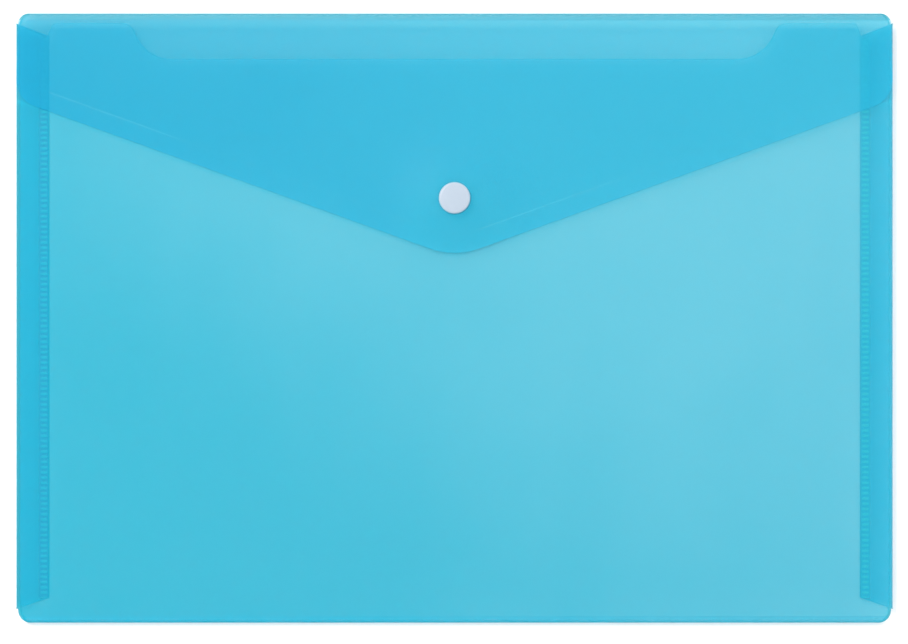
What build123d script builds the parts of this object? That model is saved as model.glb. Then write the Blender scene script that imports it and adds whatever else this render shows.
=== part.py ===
from build123d import *
import math
import os

# Document wallet of folded sheet, lying on its back: X across, Y up to the top fold, Z up.
# Lengths are millimetres.

# Sheet and pocket
overall_width = 335.0
overall_height = 233.0
sheet = 0.25
pocket_gap = 4.4
panel_inset = 0.8
top_corner_radius = 4.3
bottom_corner_radius = 5.0
corner_sweep = 75.0
cut_overrun = 1.0

# Mouth of the front panel, measured down from the top fold and in from the side fold
mouth_tab_drop = 3.8
mouth_floor_drop = 17.5
mouth_tab_end = 40.6
mouth_tab_corner_inset = 14.0
mouth_tab_corner_radius = 1.6
mouth_notch_inset = 11.8
mouth_notch_drop = 9.6
shoulder_top_radius = 5.0
shoulder_floor_radius = 15.0

# Side tabs: folded in behind the front panel and welded down along their inner edges
side_fold_radius = 0.6
tab_width = 12.4
tab_land_width = 4.4
tab_top_outer_drop = 3.9
tab_top_inner_drop = 9.6
tab_bottom_outer_rise = 5.4
tab_bottom_inner_rise = 9.5

# Weld seam: a ladder pressed into each tab's land
weld_width = 3.4
weld_margin = 0.4
weld_height = 0.12
weld_pitch = 2.0
weld_window_length = 2.5
weld_window_width = 1.2

# Flap, measured down from the top fold
flap_clearance = 0.2
flap_side_drop = 33.2
flap_apex_drop = 93.6
flap_corner_radius = 11.0
flap_tip_radius = 27.0
crease_inset = 6.6
crease_width = 0.6
crease_depth = 0.08
crease_end_inset = 12.4

# Press stud
snap_drop = 70.7
cap_radius = 6.0
cap_height = 1.3
cap_edge_radius = 0.9
post_radius = 1.2
post_clearance = 0.1
socket_radius = 5.2
socket_height = 2.1
socket_web = 0.7
socket_edge_radius = 0.4
stud_base_radius = 5.2
stud_base_height = 0.9
stud_base_edge_radius = 0.4
stud_boss_radius = 2.0
stud_boss_height = 1.55
stud_boss_edge_radius = 0.5
stud_side_clearance = 0.35
snap_play = 0.45
stud_cap_height = 1.2
stud_cap_edge_radius = 0.8

# Levels and lines that follow from the sizes above
half_width = overall_width / 2
half_height = overall_height / 2
panel_width = overall_width - 2 * panel_inset
front_under = sheet + pocket_gap
front_top = front_under + sheet
bottom_fold_radius = front_top / 2
bottom_axis_y = bottom_fold_radius - half_height
top_fold_radius = (front_top + flap_clearance + sheet) / 2
top_axis_y = half_height - top_fold_radius
snap_y = half_height - snap_drop
snap_stack = stud_base_height + snap_play + socket_height
flap_under_at_snap = front_top + snap_stack

# The flap leans up from the top fold so that its underside lies on the press stud
snap_reach = top_axis_y - snap_y
snap_rise = flap_under_at_snap - top_fold_radius
snap_distance = math.hypot(snap_reach, snap_rise)
flap_tilt = math.atan2(snap_rise, snap_reach) - math.asin((top_fold_radius - sheet) / snap_distance)
flap_normal = (0, math.sin(flap_tilt), math.cos(flap_tilt))
flap_root_y = top_axis_y + (top_fold_radius - sheet) * math.sin(flap_tilt)
flap_root_z = top_fold_radius + (top_fold_radius - sheet) * math.cos(flap_tilt)
snap_along_flap = snap_reach * math.cos(flap_tilt) + snap_rise * math.sin(flap_tilt)
flap_plane = Plane(origin=(0, flap_root_y, flap_root_z), x_dir=(1, 0, 0), z_dir=flap_normal)
socket_plane = Plane(origin=(0, snap_y, flap_under_at_snap), x_dir=(1, 0, 0), z_dir=flap_normal)

# Each tab falls from the side fold to the edge of its land on the back panel
fold_x = half_width - side_fold_radius
fold_z = front_top - side_fold_radius
tab_inner_x = half_width - tab_width
land_edge_x = tab_inner_x + tab_land_width
fold_to_land = math.hypot(fold_x - land_edge_x, fold_z - sheet)
land_bearing = math.atan2(fold_z - sheet, fold_x - land_edge_x)
tab_slope = land_bearing - math.asin(side_fold_radius / fold_to_land)
tab_top_outer_y = half_height - tab_top_outer_drop
tab_top_inner_y = half_height - tab_top_inner_drop
tab_bottom_outer_y = tab_bottom_outer_rise - half_height
tab_bottom_inner_y = tab_bottom_inner_rise - half_height


def sheet_outline():
    """The folded sheet's outline from above, with its rounded corners."""
    with BuildSketch() as outline:
        Rectangle(panel_width, overall_height)
        fillet(outline.vertices().group_by(Axis.Y)[-1], top_corner_radius)
        fillet(outline.vertices().group_by(Axis.Y)[0], bottom_corner_radius)
    return outline.sketch


def fold_outline(corner_radius):
    """The fold along the top edge from above, with ends that follow the sheet's rounded corners."""
    end_x = panel_width / 2
    corner_x = end_x - corner_radius
    corner_y = half_height - corner_radius
    far_y = half_height + cut_overrun
    with BuildSketch() as outline:
        with BuildLine() as edge:
            corner = CenterArc((corner_x, corner_y), corner_radius, 0, corner_sweep)
            corner_end = corner @ 1
            far_x = corner_end.X - (far_y - corner_end.Y) * math.tan(math.radians(corner_sweep))
            Line((end_x, 0), corner @ 0)
            Polyline(corner_end, (far_x, far_y), (0, far_y))
            mirror(edge.line, about=Plane.YZ)
            Line((-end_x, 0), (end_x, 0))
        make_face()
    return outline.sketch


def bent_sheet(centre, radius, start, sweep):
    """The section of the sheet bent round a centre, with the given outer radius."""
    with BuildSketch() as section:
        with BuildLine():
            outside = CenterArc(centre, radius, start, sweep)
            inside = CenterArc(centre, radius - sheet, start, sweep)
            Line(outside @ 0, inside @ 0)
            Line(outside @ 1, inside @ 1)
        make_face()
    return section.sketch


def tab_outline():
    """The right tab from above, mitred at both ends."""
    with BuildSketch() as outline:
        with BuildLine():
            Polyline(
                (half_width, tab_bottom_outer_y),
                (half_width, tab_top_outer_y),
                (tab_inner_x, tab_top_inner_y),
                (tab_inner_x, tab_bottom_inner_y),
                close=True,
            )
        make_face()
    return outline.sketch


def mouth_outline():
    """All that lies below the front panel's mouth, from above."""
    tab_y = half_height - mouth_tab_drop
    floor_y = half_height - mouth_floor_drop
    tab_end_x = half_width - mouth_tab_end
    shoulder_radii = shoulder_top_radius + shoulder_floor_radius
    shoulder_turn = math.acos(1 - (tab_y - floor_y) / shoulder_radii)
    bend_x = tab_end_x - shoulder_top_radius * math.sin(shoulder_turn)
    bend_y = tab_y - shoulder_top_radius * (1 - math.cos(shoulder_turn))
    floor_x = tab_end_x - shoulder_radii * math.sin(shoulder_turn)
    with BuildSketch() as outline:
        with BuildLine() as edge:
            Line((0, bottom_axis_y), (half_width, bottom_axis_y))
            Line((half_width, bottom_axis_y), (half_width, tab_top_outer_y))
            Polyline(
                (half_width, tab_top_outer_y),
                (half_width - mouth_notch_inset, half_height - mouth_notch_drop),
                (half_width - mouth_tab_corner_inset, tab_y),
                (tab_end_x, tab_y),
            )
            TangentArc((tab_end_x, tab_y), (bend_x, bend_y), tangent=(-1, 0))
            TangentArc((floor_x, floor_y), (bend_x, bend_y), tangent=(1, 0))
            Line((floor_x, floor_y), (0, floor_y))
            mirror(edge.line, about=Plane.YZ)
        make_face()
        corners = outline.vertices().filter_by(lambda v: abs(v.Y - tab_y) < sheet).sort_by(Axis.X)
        fillet([corners[0], corners[-1]], mouth_tab_corner_radius)
    return outline.sketch


def flap_outline():
    """The flap laid flat, hanging from its root along X, as wide as the pocket at its side corners."""
    root_drop = top_fold_radius
    with BuildSketch() as outline:
        with BuildLine():
            Polyline(
                (-panel_width / 2, root_drop),
                (panel_width / 2, root_drop),
                (half_width, root_drop - flap_side_drop),
                (0, root_drop - flap_apex_drop),
                (-half_width, root_drop - flap_side_drop),
                close=True,
            )
        make_face()
        fillet(outline.vertices().group_by(Axis.Y)[-1], top_corner_radius)
        fillet(outline.vertices().sort_by(Axis.Y)[1:3], flap_corner_radius)
        fillet(outline.vertices().sort_by(Axis.Y)[0], flap_tip_radius)
        with Locations((0, -flap_apex_drop / 2)):
            Rectangle(overall_width, flap_apex_drop, mode=Mode.INTERSECT)
    return outline.sketch


with BuildPart() as back_panel:
    with BuildSketch():
        add(sheet_outline())
        with Locations((0, (top_axis_y + bottom_axis_y) / 2)):
            Rectangle(panel_width, top_axis_y - bottom_axis_y, mode=Mode.INTERSECT)
    extrude(amount=sheet)

with BuildPart() as bottom_fold:
    with BuildSketch(Plane.YZ):
        add(bent_sheet((bottom_axis_y, bottom_fold_radius), bottom_fold_radius, 90, 180))
    extrude(amount=half_width, both=True)
    with BuildSketch():
        mirror(fold_outline(bottom_corner_radius), about=Plane.XZ)
    extrude(amount=front_top, mode=Mode.INTERSECT)

with BuildPart() as front_panel:
    with BuildSketch(Plane.XY.offset(front_under)):
        add(sheet_outline())
        with Locations((0, (tab_top_outer_y + tab_bottom_outer_y) / 2)):
            Rectangle(2 * fold_x, tab_top_outer_y - tab_bottom_outer_y)
        add(mouth_outline(), mode=Mode.INTERSECT)
        with Locations((0, snap_y)):
            Circle(post_radius + post_clearance, mode=Mode.SUBTRACT)
    extrude(amount=sheet)

with BuildPart() as right_side_fold:
    with BuildSketch(Plane.XZ):
        tab_turn = math.degrees(tab_slope) - 180
        add(bent_sheet((fold_x, fold_z), side_fold_radius, 90, tab_turn))
    extrude(amount=half_height, both=True)
    with BuildSketch():
        add(tab_outline())
    extrude(amount=front_top, mode=Mode.INTERSECT)

with BuildPart() as right_side_tab:
    with BuildSketch(Plane.XZ):
        with BuildLine():
            away = (math.sin(tab_slope), -math.cos(tab_slope))
            inner_radius = side_fold_radius - sheet
            kink = sheet * math.tan(tab_slope / 2)
            Polyline(
                (fold_x + side_fold_radius * away[0], fold_z + side_fold_radius * away[1]),
                (land_edge_x, sheet),
                (tab_inner_x, sheet),
                (tab_inner_x, 2 * sheet),
                (land_edge_x - kink, 2 * sheet),
                (fold_x + inner_radius * away[0], fold_z + inner_radius * away[1]),
                close=True,
            )
        make_face()
    extrude(amount=half_height, both=True)
    with BuildSketch():
        add(tab_outline())
    extrude(amount=front_top, mode=Mode.INTERSECT)

with BuildPart() as right_weld_seam:
    weld_length = tab_top_inner_y - tab_bottom_inner_y
    weld_y = (tab_top_inner_y + tab_bottom_inner_y) / 2
    window_count = int(weld_length // weld_pitch)
    with BuildSketch(Plane.XY.offset(2 * sheet)):
        with Locations((tab_inner_x + weld_margin + weld_width / 2, weld_y)):
            Rectangle(weld_width, weld_length)
            with GridLocations(weld_width, weld_pitch, 1, window_count):
                SlotOverall(weld_window_length, weld_window_width, mode=Mode.SUBTRACT)
    extrude(amount=weld_height)

with BuildPart() as left_side_fold:
    mirror(right_side_fold.part, about=Plane.YZ)

with BuildPart() as left_side_tab:
    mirror(right_side_tab.part, about=Plane.YZ)

with BuildPart() as left_weld_seam:
    mirror(right_weld_seam.part, about=Plane.YZ)

with BuildPart() as top_fold:
    with BuildSketch(Plane.YZ):
        add(bent_sheet((top_axis_y, top_fold_radius), top_fold_radius, -90, 180 - math.degrees(flap_tilt)))
    extrude(amount=half_width, both=True)
    with BuildSketch():
        add(fold_outline(top_corner_radius))
    extrude(amount=2 * top_fold_radius, mode=Mode.INTERSECT)

with BuildPart() as flap_panel:
    with BuildSketch(flap_plane):
        add(flap_outline())
        with Locations((0, -snap_along_flap)):
            Circle(post_radius + post_clearance, mode=Mode.SUBTRACT)
    extrude(amount=sheet)
    with BuildSketch(flap_plane.offset(sheet)):
        with BuildLine():
            edge_slope = math.atan2(flap_apex_drop - flap_side_drop, half_width)
            crease_shift = crease_inset / math.cos(edge_slope)
            crease_end_x = half_width - crease_end_inset
            crease_low_y = top_fold_radius - flap_apex_drop + crease_shift
            crease_end_y = crease_low_y + crease_end_x * math.tan(edge_slope)
            Polyline((-crease_end_x, crease_end_y), (0, crease_low_y), (crease_end_x, crease_end_y))
        trace(line_width=crease_width)
    extrude(amount=-crease_depth, mode=Mode.SUBTRACT)

with BuildPart() as snap_cap:
    with BuildSketch(socket_plane.offset(sheet)):
        Circle(cap_radius)
    extrude(amount=cap_height)
    fillet(snap_cap.faces().sort_by(Axis.Z)[-1].edges(), cap_edge_radius)
    with BuildSketch(socket_plane.offset(-socket_web)):
        Circle(post_radius)
    extrude(amount=socket_web + sheet)

with BuildPart() as snap_socket:
    with BuildSketch(socket_plane):
        Circle(socket_radius)
    extrude(amount=-socket_height)
    fillet(snap_socket.faces().sort_by(Axis.Z)[0].edges(), socket_edge_radius)
    with BuildSketch(socket_plane):
        Circle(post_radius + post_clearance)
    extrude(amount=-socket_height, mode=Mode.SUBTRACT)
    with BuildSketch(socket_plane.offset(-socket_web)):
        Circle(stud_boss_radius + stud_side_clearance)
    extrude(amount=-socket_height, mode=Mode.SUBTRACT)

with BuildPart() as snap_stud:
    with BuildSketch(Plane.XY.offset(front_top)):
        with Locations((0, snap_y)):
            Circle(stud_base_radius)
    extrude(amount=stud_base_height)
    fillet(snap_stud.faces().sort_by(Axis.Z)[-1].edges(), stud_base_edge_radius)
    with BuildSketch(Plane.XY.offset(front_top + stud_base_height)):
        with Locations((0, snap_y)):
            Circle(stud_boss_radius)
    extrude(amount=stud_boss_height)
    fillet(snap_stud.faces().sort_by(Axis.Z)[-1].edges(), stud_boss_edge_radius)
    with BuildSketch(Plane.XY.offset(front_top)):
        with Locations((0, snap_y)):
            Circle(post_radius + post_clearance)
    extrude(amount=stud_base_height + stud_boss_height, mode=Mode.SUBTRACT)

with BuildPart() as snap_stud_cap:
    with BuildSketch(Plane.XY.offset(front_under)):
        with Locations((0, snap_y)):
            Circle(cap_radius)
    extrude(amount=-stud_cap_height)
    fillet(snap_stud_cap.faces().sort_by(Axis.Z)[0].edges(), stud_cap_edge_radius)
    with BuildSketch(Plane.XY.offset(front_under)):
        with Locations((0, snap_y)):
            Circle(post_radius)
    extrude(amount=sheet + stud_base_height + stud_boss_height)

pieces = {
    "back_panel": back_panel,
    "bottom_fold": bottom_fold,
    "front_panel": front_panel,
    "left_side_fold": left_side_fold,
    "right_side_fold": right_side_fold,
    "left_side_tab": left_side_tab,
    "right_side_tab": right_side_tab,
    "left_weld_seam": left_weld_seam,
    "right_weld_seam": right_weld_seam,
    "top_fold": top_fold,
    "flap_panel": flap_panel,
    "snap_cap": snap_cap,
    "snap_socket": snap_socket,
    "snap_stud": snap_stud,
    "snap_stud_cap": snap_stud_cap,
}

os.makedirs("parts", exist_ok=True)
for name, piece in pieces.items():
    piece.part.label = name
    export_step(piece.part, f"parts/{name}.step")

print(f"flap axis y {top_axis_y:.4f} z {top_fold_radius:.4f}")
print(f"flap lean {math.degrees(flap_tilt):.4f} degrees")
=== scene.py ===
import math

import bmesh
import bpy
import numpy as np
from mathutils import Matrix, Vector


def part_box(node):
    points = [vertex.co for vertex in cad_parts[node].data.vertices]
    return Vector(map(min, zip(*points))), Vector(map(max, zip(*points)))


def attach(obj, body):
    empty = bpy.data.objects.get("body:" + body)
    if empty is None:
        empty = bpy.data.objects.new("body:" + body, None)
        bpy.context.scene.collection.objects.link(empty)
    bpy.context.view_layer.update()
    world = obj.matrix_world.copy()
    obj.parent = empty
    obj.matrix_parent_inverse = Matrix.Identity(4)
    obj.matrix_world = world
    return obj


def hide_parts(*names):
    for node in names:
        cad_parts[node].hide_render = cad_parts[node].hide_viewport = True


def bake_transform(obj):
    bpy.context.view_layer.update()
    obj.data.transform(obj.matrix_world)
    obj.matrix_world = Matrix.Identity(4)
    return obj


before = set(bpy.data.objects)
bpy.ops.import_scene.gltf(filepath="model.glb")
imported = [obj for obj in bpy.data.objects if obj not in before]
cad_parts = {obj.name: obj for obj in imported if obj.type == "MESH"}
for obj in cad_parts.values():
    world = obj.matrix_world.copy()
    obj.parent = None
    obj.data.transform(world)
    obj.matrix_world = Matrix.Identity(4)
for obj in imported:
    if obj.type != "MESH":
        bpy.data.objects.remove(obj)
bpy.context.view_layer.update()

bl_info = {
    "name": "Document Wallet",
    "version": (1, 0, 0),
    "blender": (4, 5, 0),
    "location": "View3D > Sidebar > Wallet",
    "description": "Builds a see-through document wallet with a pointed flap and a press stud",
    "category": "Mesh",
}

MM = 0.001

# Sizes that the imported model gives, in metres.
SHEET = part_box("back_panel")[1].z
BACK_HALF_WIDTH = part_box("back_panel")[1].x
BOTTOM_AXIS_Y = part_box("back_panel")[0].y
TOP_AXIS_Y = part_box("back_panel")[1].y
HALF_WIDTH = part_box("right_side_fold")[1].x
BOTTOM_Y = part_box("bottom_fold")[0].y
TOP_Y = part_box("top_fold")[1].y
FRONT_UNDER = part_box("front_panel")[0].z
FRONT_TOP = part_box("front_panel")[1].z
BOTTOM_RADIUS = FRONT_TOP / 2
TOP_RADIUS = TOP_Y - TOP_AXIS_Y
SIDE_FOLD_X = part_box("front_panel")[1].x
SIDE_FOLD_RADIUS = HALF_WIDTH - SIDE_FOLD_X
TAB_INNER_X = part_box("right_side_tab")[0].x
TAB_TOP_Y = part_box("right_side_fold")[1].y
TAB_BOTTOM_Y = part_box("right_side_fold")[0].y
WELD_LOW, WELD_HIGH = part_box("right_weld_seam")
STUD_LOW, STUD_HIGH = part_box("snap_stud")
SNAP_Y = (STUD_LOW.y + STUD_HIGH.y) / 2
CAP_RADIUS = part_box("snap_cap")[1].x
SOCKET_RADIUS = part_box("snap_socket")[1].x
STUD_CAP_LOW, STUD_CAP_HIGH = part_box("snap_stud_cap")


def flap_normal():
    """Upward normal of the flap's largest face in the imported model."""
    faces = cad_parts["flap_panel"].data.polygons
    upward = [face for face in faces if face.normal.z > 0.5]
    return max(upward, key=lambda face: face.area).normal.normalized()


FLAP_NORMAL = flap_normal()
FLAP_ALONG = Vector((0, FLAP_NORMAL.z, -FLAP_NORMAL.y))
FLAP_ROOT = Vector((0, TOP_AXIS_Y, TOP_RADIUS)) + (TOP_RADIUS - SHEET) * FLAP_NORMAL
SNAP_ALONG = (SNAP_Y - FLAP_ROOT.y) / FLAP_ALONG.y

# Where a look fades in and out, in metres.
# FOOT_FADE places painted light near the bottom fold, MOUTH_FADE painted shade below the flap.
FOOT_FADE = (-0.098, -0.113)
MOUTH_FADE = (0.04, 0.10)
# Where the painted shade along the flap's sides and the painted light at its tip fade in and out.
FLAP_SIDE_FADE = (0.109, 0.104)
TIP_CENTRE_Y = SNAP_Y - 12 * MM
TIP_FADE = (28 * MM, 8 * MM)
# Painted highlight, also standing for a rubbed line, along the closed flap's edge on the front panel.
RUB_HIGHLIGHT_START = (-0.4 * MM, 0.1 * MM)
RUB_HIGHLIGHT_END = (1.9 * MM, 0.3 * MM)
RUB_HIGHLIGHT_STRENGTH = 0.35

# Pairs of a place and how strongly a line shows there.
BEND_LINE = ((0, 1.1), (0.7 * MM, 0.8), (1.3 * MM, 0))
CREASE_SHOWN = ((-0.68, 0.62), (-0.58, 0.18), (0.05, 0.18), (0.065, 0.68), (0.33, 0.5), (0.43, 0.18))
# Painted light on the flap's last three rows at its root, where the top fold shades the pocket.
ROOT_PAINTED_LIGHT = (0.38, 0.47, 0.47)

# How far the soft sheet is held up round the cap, and where the front panel's bow ends.
HOLD_REACH = 13 * MM
BOW_END_Y = SNAP_Y - 10 * MM

# Diameter and place of each lamp, in metres.
KEY_LAMP = (0.35, (-0.75, 0.75, 1.85))
FLOOR_LAMP = (2.0, (0, 0, 2.2))
FILL_LAMP = (1.6, (1.2, 0.5, 1.4))


def length(name, description, default):
    """Length property in metres."""
    return bpy.props.FloatProperty(
        name=name, description=description, default=default, unit="LENGTH", precision=5
    )


def share(name, description, default):
    """Property between none and all."""
    return bpy.props.FloatProperty(
        name=name, description=description, default=default, min=0, max=1, subtype="FACTOR"
    )


def power(name, description, default):
    """Lamp power in watts."""
    return bpy.props.FloatProperty(
        name=name, description=description, default=default, min=0, subtype="POWER"
    )


def colour(name, description, default):
    """Colour property, in linear light."""
    return bpy.props.FloatVectorProperty(
        name=name, description=description, default=default, size=3, min=0, max=1, subtype="COLOR"
    )


class WALLET_PG_sheet(bpy.types.PropertyGroup):
    """Sizes and colours of the plastic sheet."""

    top_corner: length("Top Corner", "Radius of the corners at the top fold", 4.3 * MM)
    bottom_corner: length("Bottom Corner", "Radius of the corners at the bottom fold", 5.0 * MM)
    edge_line: length("Edge Line", "Width of the darker line along a cut edge", 0.5 * MM)
    edge_round: length("Edge Rounding", "How far a cut edge is rounded", 0.07 * MM)
    front_bow: length("Front Bow", "How far the front panel bows up below the flap", 0.6 * MM)
    tab_land: length("Tab Land", "Width of the side tab that lies on the back panel", 4.4 * MM)
    tab_top_mitre: length("Top Mitre", "Drop of a side tab's upper end", 4.7 * MM)
    tab_bottom_mitre: length("Bottom Mitre", "Rise of a side tab's lower end", 4.1 * MM)
    deep: colour("Deep Colour", "Colour of the sheet in its deeper parts", (0.004, 0.485, 0.672))
    pale: colour("Pale Colour", "Colour of the sheet in its paler parts", (0.118, 0.582, 0.738))
    back: colour("Back Colour", "Colour of the back panel", (0.004, 0.54, 0.62))
    flap: colour("Flap Colour", "Colour of the flap in its deeper parts", (0.001, 0.43, 0.682))
    flap_pale: colour("Pale Flap Colour", "Colour of the flap in its paler parts", (0.018, 0.52, 0.737))
    # Brighter than the front panel's deep colour: painted light on the bottom fold.
    bottom: colour("Bottom Colour", "Colour of the bottom fold", (0.004, 0.53, 0.74))
    fold: colour("Fold Colour", "Colour of the top fold", (0.06, 0.475, 0.62))
    tab: colour("Tab Colour", "Colour of the side tabs", (0.001, 0.54, 0.81))
    edge: colour("Edge Colour", "Colour of the outermost edges", (0.026, 0.31, 0.375))
    gleam: colour("Gleam Colour", "Colour of pressed lines", (0.19, 0.72, 0.86))
    # Colour of the painted highlight, also a rubbed line, along the closed flap's edge.
    polish_and_highlight: colour("Polish Colour", "Colour of the line that the flap's edge has rubbed", (0.02, 0.70, 0.90))
    opacity: share("Opacity", "How much one face of the sheet hides", 0.385)
    back_opacity: share("Back Opacity", "How much one face of the back panel hides", 0.30)
    flap_opacity: share("Flap Opacity", "How much one face of the flap hides", 0.33)
    fold_opacity: share("Fold Opacity", "How much one face of the top fold hides", 0.34)
    side_opacity: share("Side Opacity", "How much one face of a side fold hides", 0.25)


class WALLET_PG_mouth(bpy.types.PropertyGroup):
    """Sizes of the front panel's mouth."""

    tab_drop: length("Tab Drop", "From the top edge down to the mouth's end tabs", 3.8 * MM)
    floor_drop: length("Floor Drop", "From the top edge down to the finger cut-out", 17.5 * MM)
    tab_end: length("Tab End", "From the side to where a tab starts to fall", 40.6 * MM)
    top_radius: length("Shoulder Top", "Radius at the top of a shoulder", 5.0 * MM)
    floor_radius: length("Shoulder Floor", "Radius at the foot of a shoulder", 15.0 * MM)
    corner_inset: length("Corner Inset", "From the side to a tab's outer corner", 14.0 * MM)
    corner_radius: length("Corner Radius", "Radius of a tab's outer corner", 1.6 * MM)
    notch_inset: length("Notch Inset", "From the side to the notch beside a tab", 11.8 * MM)
    notch_drop: length("Notch Drop", "From the top edge down to the notch", 9.6 * MM)


class WALLET_PG_flap(bpy.types.PropertyGroup):
    """Sizes of the flap."""

    side_drop: length("Side Drop", "From the top edge down to the flap's side corners", 33.2 * MM)
    apex_drop: length("Apex Drop", "From the top edge down to where the sloped edges cross", 93.6 * MM)
    corner_radius: length("Corner Radius", "Radius of the flap's side corners", 11.0 * MM)
    tip_radius: length("Tip Radius", "Radius of the flap's tip", 27.0 * MM)
    crease_inset: length("Crease Inset", "From the sloped edge to the pressed line", 6.9 * MM)
    crease_width: length("Crease Width", "Width of the pressed line", 0.5 * MM)
    crease_depth: length("Crease Depth", "Depth of the pressed line", 0.08 * MM)
    crease_end: length("Crease End", "From the side to the end of the pressed line", 12.4 * MM)
    rest: length("Rest Gap", "How near the flap's edges come to the front panel", 0.2 * MM)


class WALLET_PG_weld(bpy.types.PropertyGroup):
    """Sizes and colours of the welded seams."""

    pitch: length("Pitch", "Distance between two pressed ovals", 2.0 * MM)
    oval_length: length("Oval Length", "Length of a pressed oval, across the seam", 2.9 * MM)
    groove: colour("Groove Colour", "Colour between the ovals", (0.002, 0.27, 0.50))
    oval: colour("Oval Colour", "Colour of the ovals", (0.03, 0.77, 0.95))
    # Paler colour for the right seam, painted light.
    right_lit_oval: colour("Right Oval Colour", "Colour of the right seam's ovals", (0.10, 1.0, 1.0))
    strength: share("Strength", "How much the seam hides what is below it", 0.80)


class WALLET_PG_snap(bpy.types.PropertyGroup):
    """Sizes and colours of the press stud."""

    cap_height: length("Cap Height", "How far the cap stands on the flap", 1.3 * MM)
    cap_edge: length("Cap Edge", "Radius of the cap's rim", 0.9 * MM)
    post_radius: length("Post Radius", "Radius of the posts that hold the press stud", 1.2 * MM)
    bore_radius: length("Bore Radius", "Radius of the holes for the posts", 1.3 * MM)
    socket_height: length("Socket Height", "How far the socket hangs below the flap", 2.1 * MM)
    socket_web: length("Socket Web", "Thickness of the socket's roof", 0.7 * MM)
    socket_bore: length("Socket Bore", "Radius of the socket's opening", 2.35 * MM)
    stud_base: length("Stud Base", "Height of the stud's base", 0.9 * MM)
    boss_radius: length("Boss Radius", "Radius of the stud's head", 2.0 * MM)
    plastic: colour("Plastic", "Colour of the press stud", (0.37, 0.44, 0.525))
    # Paler colour painted on the rim as a highlight.
    rim: colour("Plastic Rim", "Colour of the press stud's rim", (0.50, 0.58, 0.66))


class WALLET_PG_stage(bpy.types.PropertyGroup):
    """Floor, lights and camera."""

    floor: colour("Floor", "Colour of the floor", (0.94, 0.94, 0.94))
    daylight: bpy.props.FloatProperty(
        name="Daylight", description="Brightness of the light from all round", default=0.92, min=0
    )
    key_power: power("Key Light", "Power of the lamp at the upper left", 26.0)
    floor_power: power("Floor Light", "Power of the lamp that lights only the floor", 10.0)
    fill_power: power("Fill Light", "Power of the large lamp at the right", 3.0)
    lens: bpy.props.FloatProperty(
        name="Lens", description="Focal length", default=200.0, min=1, subtype="DISTANCE_CAMERA"
    )
    field: length("Field", "Width that the camera sees at the front panel", 346.8 * MM)
    aim_x: length("Aim X", "Where the camera points, across", -0.21 * MM)
    aim_y: length("Aim Y", "Where the camera points, along", -1.49 * MM)


class Shade:
    """A socket that Python's operators turn into Math nodes."""

    def __init__(self, finish, socket):
        self.finish = finish
        self.socket = socket

    def math(self, operation, first, second):
        return self.finish.node("ShaderNodeMath", {"operation": operation}, {0: first, 1: second})

    def __add__(self, other):
        return self.math("ADD", self, other)

    def __radd__(self, other):
        return self.math("ADD", other, self)

    def __sub__(self, other):
        return self.math("SUBTRACT", self, other)

    def __rsub__(self, other):
        return self.math("SUBTRACT", other, self)

    def __mul__(self, other):
        return self.math("MULTIPLY", self, other)


class Finish:
    """A material whose nodes are added one call at a time."""

    def __init__(self, name):
        self.material = bpy.data.materials.new(name)
        self.material.use_nodes = True
        self.tree = self.material.node_tree
        self.shader = self.tree.nodes["Principled BSDF"]
        self.place = self.node("ShaderNodeTexCoord", output="Object")

    def node(self, kind, settings=None, sockets=None, output=0):
        """Adds a node, sets it up and returns one of its outputs."""
        made = self.tree.nodes.new(kind)
        for name, value in (settings or {}).items():
            setattr(made, name, value)
        for name, value in (sockets or {}).items():
            self.feed(made.inputs[name], value)
        return Shade(self, made.outputs[output])

    def feed(self, socket, value):
        """Links a shade to a socket, or sets the socket's own value."""
        if isinstance(value, Shade):
            self.tree.links.new(value.socket, socket)
        elif hasattr(value, "__len__") and socket.type == "RGBA":
            socket.default_value = (*value, 1)
        else:
            socket.default_value = value

    def paint(self, sockets):
        """Feeds the sockets of the shader itself."""
        for name, value in sockets.items():
            self.feed(self.shader.inputs[name], value)
        return self.material

    def mix(self, factor, first, second):
        """Colour between two colours."""
        sockets = {0: factor, 6: first, 7: second}
        return self.node("ShaderNodeMix", {"data_type": "RGBA"}, sockets, output=2)

    def smooth(self, value, low, high):
        """Value that rises softly from 0 at low to 1 at high."""
        settings = {"interpolation_type": "SMOOTHSTEP"}
        sockets = {"Value": value, "From Min": low, "From Max": high}
        return self.node("ShaderNodeMapRange", settings, sockets)

    def noise(self, scale, detail=2.0, stretch=(1, 1, 1)):
        """Noise over the piece; scale is waves per metre."""
        place = self.node("ShaderNodeMapping", {}, {"Vector": self.place, "Scale": stretch})
        sockets = {"Vector": place, "Scale": scale, "Detail": detail}
        return self.node("ShaderNodeTexNoise", {}, sockets)

    def marked(self, name):
        """Value that the mesh holds at each point."""
        return self.node("ShaderNodeAttribute", {"attribute_name": name}, output="Fac")

    def axis(self, name):
        """One coordinate of the piece's own place."""
        return self.node("ShaderNodeSeparateXYZ", {}, {0: self.place}, output=name)

    def bump(self, height, distance, strength=1.0):
        """Normal that follows a height."""
        sockets = {"Height": height, "Distance": distance, "Strength": strength}
        return self.node("ShaderNodeBump", {}, sockets)


def even(level):
    """The same value all over the piece."""
    return lambda finish: level


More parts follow.
